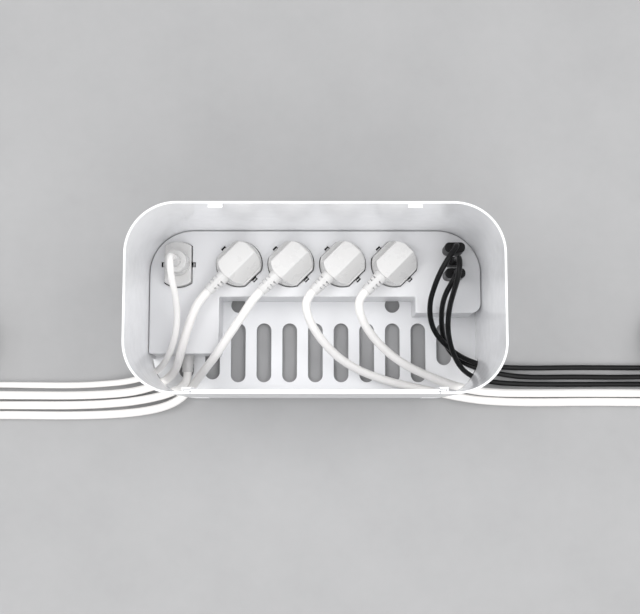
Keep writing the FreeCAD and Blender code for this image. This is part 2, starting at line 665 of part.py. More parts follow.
def straight_plug(flat):
    """A slim plug whose cord leaves upwards: a contoured foot, a shoulder and a tapered relief."""
    foot = disc(PLUG_R, flat, 0, PLUG_DISC)
    foot = foot.makeFillet(1.2, edges_at(foot, PLUG_DISC))
    low = Part.Wire(Part.makeCircle(flat - 0.8, V(0, 0, PLUG_DISC - 1)))
    middle = Part.Wire(Part.makeCircle(flat - 1.4, V(0, 0, (PLUG_DISC + STRAIGHT_SHOULDER) / 2)))
    high = Part.Wire(Part.makeCircle(STRAIGHT_NECK_R, V(0, 0, STRAIGHT_SHOULDER)))
    shoulder = Part.makeLoft([low, middle, high], True)
    relief = Part.makeCone(THIN_D / 2 + 2.4, THIN_D / 2 + 0.7, STRAIGHT_RELIEF_TOP - STRAIGHT_SHOULDER + 1,
                           V(0, 0, STRAIGHT_SHOULDER - 1))
    return foot.fuse([shoulder, relief]).cut(earth_recesses(flat))


def usb_plug(key):
    """A moulded grip with its metal tongue, standing in the port."""
    w, h, height = USB_BODY[key]
    pw, ph = USB_PORT[key]
    low = COVER_TOP + USB_STAND
    y = USB_Y[key]
    grip = prism([(USB_X + a, y + b, r) for a, b, r in rectangle(w / 2, h / 2, h * 0.45)], low, low + height)
    grip = grip.makeFillet(1.4, edges_at(grip, low + height))
    relief = Part.makeCone(USB_RELIEF_R, USB_D / 2 + 0.3, USB_RELIEF + 1, V(USB_X, y, low + height - 1))
    inset = USB_SHELL + USB_FIT
    tongue = prism([(USB_X + a, y + b, r) for a, b, r in
                    rectangle(pw / 2 - inset, ph / 2 - inset, ph / 5 - USB_SHELL / 2)], COVER_TOP - USB_TONGUE, low)
    return Part.makeCompound([grip.fuse(relief), tongue])


# Cords

def tube_path(points, name):
    """Straight runs joined by tangent arcs, each as large as its two runs allow."""
    edges = []
    radii = []
    here = points[0]
    length = 0.0
    for before, corner, after in zip(points, points[1:], points[2:]):
        run = min(before.distanceToPoint(corner), corner.distanceToPoint(after))
        turn = (corner - before).getAngle(after - corner)
        radius = ARC_SHARE * run / math.tan(turn / 2)
        start, middle, end = corner_arc(before, corner, after, radius)
        edges += [Part.LineSegment(here, start).toShape(), Part.Arc(start, middle, end).toShape()]
        length += here.distanceToPoint(start) + radius * turn
        radii.append(radius)
        here = end
    edges.append(Part.LineSegment(here, points[-1]).toShape())
    length += here.distanceToPoint(points[-1])
    print(name, "length", round(length), "radii", " ".join(str(round(r)) for r in radii))
    return Part.Wire(edges), length


def sweep(path, diameter):
    """A round solid along a wire."""
    edge = path.OrderedEdges[0]
    start = edge.valueAt(edge.FirstParameter)
    ahead = edge.tangentAt(edge.FirstParameter)
    if start.distanceToPoint(path.OrderedVertexes[0].Point) > 1e-6:
        start = edge.valueAt(edge.LastParameter)
        ahead = edge.tangentAt(edge.LastParameter) * -1
    profile = Part.Wire(Part.makeCircle(diameter / 2, start, ahead))
    return path.makePipeShell([profile], True, False)


def cord_tube(name, points, diameter):
    path, length = tube_path([V(*p) for p in points], name)
    solid = sweep(path, diameter)
    expected = math.pi * diameter ** 2 / 4 * length
    print(name, "volume over section times length", round(solid.Volume / expected, 4))
    add(name, solid)
    return length


def coil_point(u, coil):
    """Place on the coil's centreline after u turns: spiral in, climb one layer, spiral out."""
    pitch = coil["diameter"] + TURN_GAP
    blend = COIL_BLEND
    half = coil["turns"] / 2
    w = min(u, coil["turns"] - u)
    r_out = outer_radius(coil)
    if w < blend:
        r = r_out - pitch * w * w / (2 * blend)
    elif w < half - blend:
        r = r_out - pitch * (w - blend / 2)
    else:
        r = r_out - pitch * (half - blend) + pitch * (half - w) ** 2 / (2 * blend)
    t = min(max((u - half + blend) / (2 * blend), 0.0), 1.0)
    s = min(max((u - coil["turns"] + blend * 2) / (2 * blend), 0.0), 1.0)
    if coil["stacked"]:
        s = min(max((u - coil["turns"] + TAIL_TURNS * 1.6) / (TAIL_TURNS * 0.8), 0.0), 1.0)
        c = min(max((u - coil["turns"] + TAIL_TURNS) / TAIL_TURNS, 0.0), 1.0)
        r -= r_out * (1 - TAIL_RADIUS) * c * c * (3 - 2 * c)
    z = coil["low"] + pitch * t * t * (3 - 2 * t) + coil["rise"] * s * s * (3 - 2 * s)
    x, y = coil["meets"]
    angle = coil_angle(u, coil)
    return V(x + r * math.cos(angle), y + r_out + r * math.sin(angle), z)


def outer_radius(coil):
    """Radius of the outermost turn, from the mean radius of the winding."""
    return coil["radius"] + (coil["diameter"] + TURN_GAP) * (coil["turns"] / 2 - COIL_BLEND) / 2


def coil_angle(u, coil):
    """A coil is met at its front and turns away from the box."""
    return -math.pi / 2 + outward(coil) * 2 * math.pi * u


def outward(coil):
    return 1 if coil["meets"][0] > 0 else -1


def coil_ahead(u, coil):
    """Unit direction of the centreline."""
    step = 1e-4
    if 0.0 < u < coil["turns"]:
        return (coil_point(u + step, coil) - coil_point(u - step, coil)).normalize()
    angle = coil_angle(u, coil)
    dip = coil["dip"] if u > 0 else 0.0
    return V(-math.sin(angle) * outward(coil), math.cos(angle) * outward(coil), -math.tan(dip)).normalize()


def tangent_arc(start, corner, end):
    """The arc whose control triangle is start, corner and end."""
    chord = (start + end) / 2
    weight = chord.distanceToPoint(start) / corner.distanceToPoint(start)
    middle = (start + corner * (2 * weight) + end) / (2 * (1 + weight))
    return Part.Arc(start, middle, end).toShape()


def biarc(p, t, q, s):
    """Two arcs from p with direction t to q with direction s."""
    v = p - q
    both = t + s
    a = 2 * (1 - t.dot(s))
    b = 2 * v.dot(both)
    c = v.dot(v)
    if a < 1e-9:
        d = -c / b
    else:
        d = (-b - math.sqrt(b * b + 4 * a * c)) / (-2 * a)
        if d <= 0:
            d = (-b + math.sqrt(b * b + 4 * a * c)) / (-2 * a)
    one, two = p + t * d, q - s * d
    meet = (one + two) / 2
    return [tangent_arc(p, one, meet), tangent_arc(meet, two, q)]


def cord_coil(name, coil):
    """One unbroken tube wound in two layers, straight for one diameter at both ends."""
    d = coil["diameter"]
    count = int(round(coil["turns"] * 4))
    stations = [i * coil["turns"] / count for i in range(count + 1)]
    first, last = coil_point(stations[0], coil), coil_point(stations[-1], coil)
    lead_in, lead_out = coil_ahead(0.0, coil), coil_ahead(coil["turns"], coil)
    edges = [Part.LineSegment(first - lead_in * d, first).toShape()]
    for a, b in zip(stations, stations[1:]):
        edges += biarc(coil_point(a, coil), coil_ahead(a, coil), coil_point(b, coil), coil_ahead(b, coil))
    edges.append(Part.LineSegment(last, last + lead_out * d).toShape())
    path = Part.Wire(edges)
    solid = sweep(path, d)
    print(name, "length", round(path.Length), "across", round(2 * coil["radius"] + d), "least gap to itself",
          round(coil_gap(coil), 2), "volume ratio", round(solid.Volume / (math.pi * d * d / 4 * path.Length), 4))
    add(name, solid)
    return last + lead_out * d, lead_out, path.Length


def coil_gap(coil):
    """Least distance between surfaces of turns at least half a turn apart."""
    steps = int(coil["turns"] * 48)
    points = [coil_point(i * coil["turns"] / steps, coil) for i in range(steps + 1)]
    least = min(points[i].distanceToPoint(points[j]) for i in range(len(points))
                for j in range(i + 24, len(points)))
    return least - coil["diameter"]


# Pieces on the far ends, made along +X from the origin and then laid in place

def laid(shape, place, ahead):
    """A copy that points along a direction, nose down where the direction dips."""
    copy = shape.copy()
    copy.rotate(V(0, 0, 0), V(0, 1, 0), math.degrees(-math.asin(ahead.z)))
    return turned(copy, math.degrees(math.atan2(ahead.y, ahead.x)), place)


def mains_plug_end():
    """A straight earthed plug lying on its side."""
    relief = Part.makeCone(LEAD_D / 2 + 0.9, LEAD_D / 2 + 3.4, END_RELIEF, V(0, 0, 0), V(1, 0, 0))
    neck = Part.makeCone(10.0, PLUG_R - 1, 12.0, V(END_RELIEF - 2, 0, 0), V(1, 0, 0))
    body = Part.makeCylinder(PLUG_R - 1, 16.0, V(END_RELIEF + 10, 0, 0), V(1, 0, 0))
    end = END_RELIEF + 26
    grip = relief.fuse([neck, body])
    pins = [Part.makeCylinder(PIN_R, PIN_LENGTH, V(end, side * PIN_SPACING / 2, 0), V(1, 0, 0)) for side in (-1, 1)]
    return Part.makeCompound([grip] + pins)


def appliance_end(diameter):
    """A moulded connector with a rounded grip and two contact holes."""
    w, h, long = END_BODY
    relief = Part.makeCone(diameter / 2 + 0.7, diameter / 2 + 1.8, END_RELIEF + 1, V(0, 0, 0), V(1, 0, 0))
    grip = Part.makeBox(long, w, h, V(END_RELIEF, -w / 2, -h / 2))
    grip = grip.makeFillet(END_EDGE_R, [e for e in grip.Edges if abs(e.tangentAt(e.FirstParameter).x) > 0.9])
    holes = [Part.makeBox(14, 2.2, 5, V(END_RELIEF + long - 13, y - 1.1, -2.5)) for y in (-7.0, 7.0)]
    return relief.fuse(grip).cut(holes)


def usb_end():
    w, h, long = END_USB_BODY[1], END_USB_BODY[0], END_USB_BODY[2]
    relief = Part.makeCone(USB_D / 2 + 0.3, USB_D / 2 + 0.9, END_USB_RELIEF + 1, V(0, 0, 0), V(1, 0, 0))
    grip = Part.makeBox(long, w, h, V(END_USB_RELIEF, -w / 2, -h / 2))
    grip = grip.makeFillet(END_EDGE_R, [e for e in grip.Edges if abs(e.tangentAt(e.FirstParameter).x) > 0.9])
    tw, th, tl = END_USB_TONGUE
    tongue = Part.makeBox(tl, tw, th, V(END_USB_RELIEF + long, -tw / 2, -th / 2))
    return Part.makeCompound([relief.fuse(grip), tongue])


LEAD_Z = LEAD_D / 2 + CORD_LIFT
THIN_Z = THIN_D / 2 + CORD_LIFT
USB_Z = USB_D / 2 + CORD_LIFT

# The line along which each cord runs away from the box, as its distance in front of the middle
LINES = {"corner_plug_cord": -60.3, "plug_1_cord": -69.2, "mains_lead": -77.8, "plug_2_cord": -86.6,
         "plug_3_cord": -75.2, "plug_4_cord": -67.0,
         "usb_cord_back": -45.2, "usb_cord_front": -53.4, "usb_cord_middle": -60.0}

# Length past the relief's start, and half height, of the piece on a cord's end
APPLIANCE_NOSE = (END_RELIEF + END_BODY[2], END_BODY[1] / 2)
USB_NOSE = (END_USB_RELIEF + END_USB_BODY[2], END_USB_BODY[0] / 2)
PLUG_NOSE = (END_RELIEF + 26.0, PLUG_R - 1)


def axis_points(number, reach):
    """The end of an angled plug's strain relief, and a point beyond it on its axis."""
    arm = math.sqrt(0.5)
    x = FIRST_SOCKET_X + (number - 1) * SOCKET_PITCH
    return [(x - s * arm, SOCKET_Y - s * arm, CORD_AXIS) for s in (RELIEF_END, RELIEF_END + reach)]


def usb_points(key, high):
    """The end of a plug's relief, and a point above it."""
    return [(USB_X, USB_Y[key], COVER_TOP + USB_STAND + USB_BODY[key][2] + USB_RELIEF), (USB_X, USB_Y[key], high)]


def coil_lead_in(coil):
    """The point where a cord meets its coil."""
    first, ahead = coil_point(0.0, coil), coil_ahead(0.0, coil)
    meet = first - ahead * coil["diameter"]
    return (meet.x, meet.y, meet.z)


def coil_top(diameter):
    """Height at which the next coil of a pile lies on one that lies on the ground."""
    return CORD_LIFT + 2 * diameter + TURN_GAP + PILE_GAP


def coil(name, diameter, turns, radius, meets_x, nose=APPLIANCE_NOSE, lies_on=0.0):
    """Facts of one coil. On the ground its end piece dips until its nose rests; on another coil it lies on top."""
    low = lies_on + CORD_LIFT + diameter / 2
    room = low + diameter + TURN_GAP - CORD_LIFT
    reach, half = diameter + nose[0], nose[1]
    if lies_on:
        rise, dip = half + diameter / 2 + CORD_LIFT, 0.0
    else:
        rise = max(half - room, 0.0)
        dip = math.asin(max(room, half) / math.hypot(reach, half)) - math.atan2(half, reach)
    return {"diameter": diameter, "turns": turns, "radius": radius, "meets": (meets_x, LINES[name]),
            "low": low, "rise": rise, "dip": dip, "stacked": lies_on > 0}


COILS = {
    "corner_plug_cord": coil("corner_plug_cord", THIN_D, 5.25, 28.0, -343.0),
    "plug_1_cord": coil("plug_1_cord", LEAD_D, 3.25, 40.0, -333.0, lies_on=coil_top(THIN_D)),
    "mains_lead": coil("mains_lead", LEAD_D, 5.25, 36.0, -435.0, nose=PLUG_NOSE),
    "plug_2_cord": coil("plug_2_cord", LEAD_D, 3.25, 40.0, -538.0),
    "plug_3_cord": coil("plug_3_cord", LEAD_D, 3.25, 40.0, 474.0, lies_on=coil_top(LEAD_D)),
    "plug_4_cord": coil("plug_4_cord", LEAD_D, 3.25, 40.0, 474.0),
    "usb_cord_back": coil("usb_cord_back", USB_D, 4.25, 25.0, 323.0, nose=USB_NOSE),
    "usb_cord_front": coil("usb_cord_front", USB_D, 4.25, 25.0, 323.0, nose=USB_NOSE, lies_on=coil_top(USB_D)),
    "usb_cord_middle": coil("usb_cord_middle", USB_D, 3.25, 25.0, 390.0, nose=USB_NOSE),
}
STACKED_1 = COILS["plug_1_cord"]["low"]
STACKED_3 = COILS["plug_3_cord"]["low"]
STACKED_USB = COILS["usb_cord_front"]["low"]

ROUTES = {
    "corner_plug_cord": [
        (CORNER_SOCKET_X, CORNER_SOCKET_Y, PLUG_FACE + STRAIGHT_RELIEF_TOP), (CORNER_SOCKET_X, CORNER_SOCKET_Y, 96),
        (-116, 34, 101.5), (-115.5, 24, 98), (-114.5, 15, 87), (-114, 6, 75), (-114, -6, 67), (-115.5, -20, 63),
        (-120.5, -33.5, 55), (-127, -42, 40), (-135.5, -48.5, 24), (-147, -53.5, 12.5), (-164, -57.5, 5),
        (-184, -59.5, THIN_Z), (-212, -61, THIN_Z), (-256, -60.5, THIN_Z), (-300, -60.3, THIN_Z)],
    "plug_1_cord": axis_points(1, 11) + [
        (-103.5, -6, 58), (-108.5, -22, 57.5), (-113, -36, 52), (-117, -44.5, 38), (-122, -51, 24),
        (-132, -58.5, 14.5), (-148, -64, 8), (-168, -67.8, LEAD_Z), (-206, -69.8, LEAD_Z), (-250, -69.6, LEAD_Z),
        (-278, -69.4, 8), (-305, -69.2, STACKED_1)],
    "mains_lead": [
        (GLAND_X, LEFT_LOBE_FRONT - GLAND_LENGTH, GLAND_HEIGHT),
        (GLAND_X, LEFT_LOBE_FRONT - GLAND_LENGTH - 6.5, GLAND_HEIGHT), (-115, -62, 18), (-123, -66.5, 14),
        (-134, -70, 9.5), (-149, -73.2, 5.5), (-170, -76.2, LEAD_Z), (-206, -78.4, LEAD_Z), (-262, -78.2, LEAD_Z),
        (-322, -77.7, LEAD_Z), (-382, -77.8, LEAD_Z)],
    "plug_2_cord": axis_points(2, 10) + [
        (-62, -6, 57), (-73, -22, 56), (-83.5, -37.5, 50), (-92.5, -46.5, 37), (-101, -55.5, 22), (-110, -66, 12.6),
        (-122, -76, 9.4), (-140, -82, 5.4), (-168, -85.8, LEAD_Z), (-212, -87.4, LEAD_Z), (-268, -86.7, LEAD_Z),
        (-326, -86.9, LEAD_Z), (-384, -86.5, LEAD_Z), (-438, -86.9, LEAD_Z), (-486, -86.6, LEAD_Z)],
    "plug_3_cord": axis_points(3, 8) + [
        (-8, 0.5, 56), (-2.5, -13, 48), (7.5, -26, 37), (20, -38, 26.5), (37, -48, 18), (58, -56, 13.8),
        (82, -62, 11.8), (106, -67, 11), (129, -71.8, 9.2), (154, -74.8, 5.2), (190, -75.8, LEAD_Z),
        (240, -75.1, LEAD_Z), (290, -75.6, LEAD_Z), (340, -75.3, LEAD_Z), (386, -75.7, LEAD_Z), (417, -75.4, 8.5),
        (446, -75.2, STACKED_3)],
    "plug_4_cord": axis_points(4, 8) + [
        (36.5, 0.5, 56), (41, -10.5, 49), (49, -21, 41), (60, -32, 33), (74, -42, 26.5), (90, -50, 22),
        (106, -56.5, 19.5), (122, -62, 17.5), (140, -66, 12.5), (162, -67.4, 6), (190, -67.7, LEAD_Z),
        (240, -67.3, LEAD_Z), (300, -67.6, LEAD_Z), (360, -67.2, LEAD_Z), (416, -67.0, LEAD_Z)],
    "usb_cord_back": usb_points("back", 78) + [
        (114, 48, 85), (108, 39.5, 86.5), (102, 29, 82), (98, 18, 73), (95.5, 7, 61.5), (96.5, -6, 50),
        (102, -18, 40), (113, -28.5, 31), (126, -37, 22), (143, -42.8, 13), (164, -45, 5), (190, -45.6, USB_Z),
        (228, -44.9, USB_Z), (272, -45.2, USB_Z)],
    "usb_cord_front": usb_points("front", 77) + [
        (115, 26.5, 82), (111, 19.5, 80), (107.5, 12.5, 70.5), (106, 4, 57.5), (107, -8, 42), (110, -20, 28),
        (115.5, -30.5, 18.5), (126, -40, 13), (143, -46.5, 9), (163, -51, 4), (186, -53.8, USB_Z),
        (226, -53.2, USB_Z), (258, -53.6, USB_Z), (281, -53.5, 6), (302, -53.4, STACKED_USB)],
    "usb_cord_middle": usb_points("middle", 82) + [
        (116.8, 38.5, 91), (116, 30, 95.5), (114.5, 20.5, 91), (112.8, 12, 79), (111.3, 2, 65), (111, -11, 53.5),
        (113, -23.5, 46), (117.5, -35, 37), (125, -46, 24.5), (136, -53.5, 13.5), (154, -58, 5.5),
        (178, -59.6, USB_Z), (218, -59.9, USB_Z), (274, -59.6, USB_Z), (334, -60.0, USB_Z)],
}


def cords():
    """Each cord as a loose stretch, a coil of what is left over, and the piece on its end."""
    ends = {"mains_lead": mains_plug_end}
    for name, route in ROUTES.items():
        winding = COILS[name]
        loose = cord_tube(name, route + [coil_lead_in(winding)], winding["diameter"])
        place, ahead, wound = cord_coil(name + "_coil", winding)
        print(name, "whole length", round(loose + wound))
        if name in ends:
            piece, label = ends[name](), "_plug"
        elif name.startswith("usb"):
            piece, label = usb_end(), "_connector"
        else:
            piece, label = appliance_end(winding["diameter"]), "_connector"
        add(name + label, laid(piece, place, ahead))


def build():
    add("box_body", box_body())
    add("front_panel", front_panel())
    add("rubber_feet", rubber_feet())
    add("module_base", module_base())
    add("module_cover", module_cover())
    add("module_screws", module_screws())
    for name, place, angle, flat in sockets():
        add("socket_well_" + name, socket_well(place, angle, flat))
    add("line_bar", contact_bar(0))
    add("neutral_bar", contact_bar(1))
    add("earth_bar", earth_bar())
    add("usb_board", usb_board())
    add("usb_ports", usb_ports())
    add("lead_gland", lead_gland())
    for name, place, angle, flat in plug_places():
        if name == "corner":
            slim = flat - PLUG_SIDE_CLEARANCE
            add("corner_plug", turned(straight_plug(slim), angle, place))
            add("corner_plug_pins", turned(plug_contacts(slim), angle, place))
        else:
            add("plug_" + name, turned(angled_plug(), angle, place))
            add("plug_" + name + "_pins", turned(plug_contacts(PLUG_FLAT), angle, place))
    for key in USB_Y:
        add("usb_plug_" + key, usb_plug(key))
    cords()


build()
os.makedirs("parts", exist_ok=True)
for part_name, part_shape in PARTS.items():
    part_shape.exportStep(os.path.join("parts", part_name + ".step"))
print(len(PARTS), "pieces")
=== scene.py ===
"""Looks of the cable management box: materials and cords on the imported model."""
import math
import bpy
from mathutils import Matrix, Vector


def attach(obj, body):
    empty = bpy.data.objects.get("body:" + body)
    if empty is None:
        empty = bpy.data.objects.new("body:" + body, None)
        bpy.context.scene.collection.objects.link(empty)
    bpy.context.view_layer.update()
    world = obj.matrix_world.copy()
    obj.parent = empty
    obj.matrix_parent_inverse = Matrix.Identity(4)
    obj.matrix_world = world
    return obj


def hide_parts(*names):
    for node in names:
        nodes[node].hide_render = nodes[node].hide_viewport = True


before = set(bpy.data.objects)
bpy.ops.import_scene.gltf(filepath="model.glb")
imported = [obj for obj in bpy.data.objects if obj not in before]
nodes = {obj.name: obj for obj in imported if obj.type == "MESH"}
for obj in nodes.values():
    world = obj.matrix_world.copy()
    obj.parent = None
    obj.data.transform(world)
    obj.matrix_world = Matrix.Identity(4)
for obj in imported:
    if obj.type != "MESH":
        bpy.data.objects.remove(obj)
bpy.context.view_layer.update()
MM = 0.001

# Camera, fitted to the rim, the floor and the plugs
CAMERA_PLACE = (0.0006, -0.0911, 0.938)
CAMERA_TILT = (6.09, -0.216, 0.0)
CAMERA_FOCAL_PX = 1059.0
PICTURE_WIDTH_PX = 640
SENSOR_MM = 36.0
CLIP_START = 0.01

# Lights: name, place and aim in metres, size in metres, power in watts
LIGHTS = (
    ("top", (0.0, 0.1, 1.9), (0.0, 0.0, 0.0), (2.4, 1.8), 8.0),
    ("front", (0.2, -1.5, 1.9), (0.0, 0.0, 0.05), (1.8, 1.2), 16.0),
    ("left", (-1.3, 0.2, 1.9), (0.0, 0.0, 0.05), (1.2, 1.2), 15.0),
    ("right", (1.3, 0.2, 1.9), (0.0, 0.0, 0.05), (1.2, 1.2), 14.0),
)
WORLD_LIGHT = 0.72
FLOOR_HALF = 6.0

# Surfaces: gloss of a clear coat, depth of scatter in metres, and the scales of the noises
COAT_ROUGHNESS = 0.12
SCATTER = 0.004
NOISE_RANGE = (0.3, 0.7)
DRIFT_SCALE = 14.0
GLOSS_SCALE = 90.0
STREAK_SCALE = (900.0, 900.0, 60.0)
STREAK_DEPTH = 0.00002
STREAK_STRENGTH = 0.4

# Facets of a cord along its line and round it
LINE_STEPS = 8
ROUND_STEPS = 5

# Sizes that the cords share with the model, in millimetres
LEAD_D, THIN_D, USB_D = 7.2, 5.4, 4.5
TURN_GAP = 1.6
COIL_BLEND = 0.25
CORD_LIFT = 0.1
PILE_GAP = 0.9
TAIL_TURNS = 0.5
TAIL_RADIUS = 0.5
POINTS_PER_TURN = 16
LEAD_Z = LEAD_D / 2 + CORD_LIFT
THIN_Z = THIN_D / 2 + CORD_LIFT
USB_Z = USB_D / 2 + CORD_LIFT
# Length past the start of its relief, and half height, of the piece on a cord's end
APPLIANCE_NOSE = (56.0, 6.0)
PLUG_NOSE = (58.0, 18.2)
USB_NOSE = (34.0, 4.5)

# Places where the cords leave their plugs, in millimetres
CORD_AXIS = 58.0
SOCKET_Y = 41.0
FIRST_SOCKET_X = -64.8
SOCKET_PITCH = 44.0
RELIEF_END = 35.0
CORNER_PLUG = (-116.5, 40.5, 88.0)
GLAND = (-110.5, -49.9, 20.0)
USB_X = 116.8
USB_Y = {"back": 52.4, "middle": 41.4, "front": 30.7}
USB_TOP = {"back": 70.4, "middle": 68.4, "front": 70.4}


# Materials

def shader(name, colour, roughness, metallic=0.0, coat=0.0, subsurface=0.0, shine=0.5):
    """A material with its shader and its object coordinates."""
    made = bpy.data.materials.new(name)
    made.use_nodes = True
    tree = made.node_tree
    surface = tree.nodes["Principled BSDF"]
    surface.inputs["Base Color"].default_value = (*colour, 1.0)
    surface.inputs["Roughness"].default_value = roughness
    surface.inputs["Metallic"].default_value = metallic
    surface.inputs["Specular IOR Level"].default_value = shine
    surface.inputs["Coat Weight"].default_value = coat
    surface.inputs["Coat Roughness"].default_value = COAT_ROUGHNESS
    surface.inputs["Subsurface Weight"].default_value = subsurface
    surface.inputs["Subsurface Radius"].default_value = (SCATTER, SCATTER, SCATTER)
    surface.inputs["Subsurface Scale"].default_value = 1.0
    return made, tree, surface, tree.nodes.new("ShaderNodeTexCoord").outputs["Object"]


def noise(tree, where, scale, detail=3.0, roughness=0.5):
    made = tree.nodes.new("ShaderNodeTexNoise")
    made.inputs["Scale"].default_value = scale
    made.inputs["Detail"].default_value = detail
    made.inputs["Roughness"].default_value = roughness
    tree.links.new(where, made.inputs["Vector"])
    return made.outputs["Fac"]


def spread(tree, value, low, high):
    """Maps a noise value to the range low to high."""
    made = tree.nodes.new("ShaderNodeMapRange")
    made.inputs["From Min"].default_value = NOISE_RANGE[0]
    made.inputs["From Max"].default_value = NOISE_RANGE[1]
    made.inputs["To Min"].default_value = low
    made.inputs["To Max"].default_value = high
    tree.links.new(value, made.inputs["Value"])
    return made.outputs["Result"]


def vary(tree, value, one, two):
    """A colour that wanders between two others."""
    made = tree.nodes.new("ShaderNodeMix")
    made.data_type = "RGBA"
    made.inputs["A"].default_value = (*one, 1.0)
    made.inputs["B"].default_value = (*two, 1.0)
    tree.links.new(spread(tree, value, 0.0, 1.0), made.inputs["Factor"])
    return made.outputs["Result"]


def bump(tree, surface, height, distance, strength=1.0):
    made = tree.nodes.new("ShaderNodeBump")
    made.inputs["Strength"].default_value = strength
    made.inputs["Distance"].default_value = distance
    tree.links.new(height, made.inputs["Height"])
    tree.links.new(made.outputs["Normal"], surface.inputs["Normal"])


def plastic(name, colour, tint, roughness, grain_mm, grain_depth, coat=0.0, subsurface=0.0,
            shine=0.5):
    """Moulded plastic: slow colour drift, uneven gloss and a fine grain."""
    made, tree, surface, where = shader(name, colour, roughness, coat=coat, subsurface=subsurface, shine=shine)
    tree.links.new(vary(tree, noise(tree, where, DRIFT_SCALE), colour, tint), surface.inputs["Base Color"])
    gloss = noise(tree, where, GLOSS_SCALE, 5.0, 0.6)
    tree.links.new(spread(tree, gloss, roughness * 0.85, roughness * 1.2), surface.inputs["Roughness"])
    bump(tree, surface, noise(tree, where, 1000.0 / grain_mm, 4.0, 0.6), grain_depth)
    return made


def metal(name, colour, tint, roughness):
    """Plated or drawn metal with fine streaks."""
    made, tree, surface, where = shader(name, colour, roughness, metallic=1.0)
    stretch = tree.nodes.new("ShaderNodeMapping")
    stretch.inputs["Scale"].default_value = STREAK_SCALE
    tree.links.new(where, stretch.inputs["Vector"])
    streaks = noise(tree, stretch.outputs["Vector"], 1.0, 4.0)
    tree.links.new(vary(tree, streaks, colour, tint), surface.inputs["Base Color"])
    tree.links.new(spread(tree, streaks, roughness * 0.8, roughness * 1.3), surface.inputs["Roughness"])
    bump(tree, surface, streaks, STREAK_DEPTH, STREAK_STRENGTH)
    return made


BOX_WHITE = plastic("box_white", (0.935, 0.94, 0.955), (0.91, 0.915, 0.935), 0.22, 1.6, 0.00001, coat=0.25)
MODULE_WHITE = plastic("module_white", (0.77, 0.77, 0.785), (0.74, 0.745, 0.76), 0.34, 0.7, 0.00002)
PLUG_WHITE = plastic("plug_white", (0.66, 0.655, 0.65), (0.63, 0.625, 0.62), 0.28, 0.9, 0.00003, 0.1, 0.1)
CORD_WHITE = plastic("cord_white", (0.90, 0.885, 0.87), (0.87, 0.855, 0.84), 0.42, 0.8, 0.00004, subsurface=0.1)
CORD_BLACK = plastic("cord_black", (0.004, 0.004, 0.004), (0.007, 0.007, 0.008), 0.34, 0.7, 0.00004,
                     shine=0.18)
CHARGER_BLACK = plastic("charger_black", (0.005, 0.005, 0.005), (0.009, 0.009, 0.01), 0.38, 0.4, 0.00003,
                        shine=0.2)
# Socket wells near black with almost no specular: painted shade for the deep gaps round the plugs
SOCKET_PAINTED_SHADE = plastic("socket_dark", (0.004, 0.004, 0.004), (0.008, 0.008, 0.008), 0.6, 0.6, 0.00002,
                      shine=0.08)
FOOT_GREY = plastic("foot_grey", (0.10, 0.10, 0.105), (0.13, 0.13, 0.13), 0.7, 0.5, 0.00005)
BOARD_GREEN = plastic("board_green", (0.02, 0.10, 0.045), (0.03, 0.13, 0.06), 0.3, 1.2, 0.00003, coat=0.5)
BRASS = metal("contact_brass", (0.72, 0.53, 0.22), (0.66, 0.47, 0.20), 0.32)
STEEL = metal("contact_steel", (0.60, 0.60, 0.61), (0.50, 0.50, 0.51), 0.34)
NICKEL = metal("pin_nickel", (0.72, 0.70, 0.66), (0.66, 0.64, 0.60), 0.18)


def paint(material, *names):
    for name in names:
        for place in nodes[name].material_slots:
            place.material = material


NUMBERS = ("1", "2", "3", "4")
paint(BOX_WHITE, "box_body", "front_panel")
paint(MODULE_WHITE, "module_cover", "module_base")
# The near-black socket wells are painted shade in the gaps round the plugs
paint(SOCKET_PAINTED_SHADE, "socket_well_corner", *["socket_well_" + n for n in NUMBERS])
paint(PLUG_WHITE, "corner_plug", "lead_gland", *["plug_" + n for n in NUMBERS])
paint(NICKEL, "corner_plug_pins", *["plug_" + n + "_pins" for n in NUMBERS])
paint(CHARGER_BLACK, *["usb_plug_" + k for k in USB_Y])
paint(BRASS, "line_bar", "neutral_bar")
paint(STEEL, "earth_bar", "usb_ports", "module_screws")
paint(FOOT_GREY, "rubber_feet")
paint(BOARD_GREEN, "usb_board")


# Cords

def axis_points(number, reach):
    arm = math.sqrt(0.5)
    x = FIRST_SOCKET_X + (number - 1) * SOCKET_PITCH
    return [(x - s * arm, SOCKET_Y - s * arm, CORD_AXIS) for s in (RELIEF_END, RELIEF_END + reach)]


def usb_points(key, high):
    return [(USB_X, USB_Y[key], USB_TOP[key]), (USB_X, USB_Y[key], high)]


def coil_top(diameter):
    """Height at which the next coil of a pile lies on one that lies on the ground."""
    return CORD_LIFT + 2 * diameter + TURN_GAP + PILE_GAP


def coil(diameter, turns, radius, meets, nose=APPLIANCE_NOSE, lies_on=0.0):
    """Facts of one coil.

    On the ground its end piece dips until its nose rests, and on another coil it lies on top.
    """
    low = lies_on + CORD_LIFT + diameter / 2
    room = low + diameter + TURN_GAP - CORD_LIFT
    reach, half = diameter + nose[0], nose[1]
    if lies_on:
        rise, dip = half + diameter / 2 + CORD_LIFT, 0.0
    else:
        rise = max(half - room, 0.0)
        dip = math.asin(max(room, half) / math.hypot(reach, half)) - math.atan2(half, reach)
    return {"diameter": diameter, "turns": turns, "radius": radius, "meets": meets, "low": low, "rise": rise,
            "dip": dip, "stacked": lies_on > 0}


def clamp(value):
    return min(max(value, 0.0), 1.0)


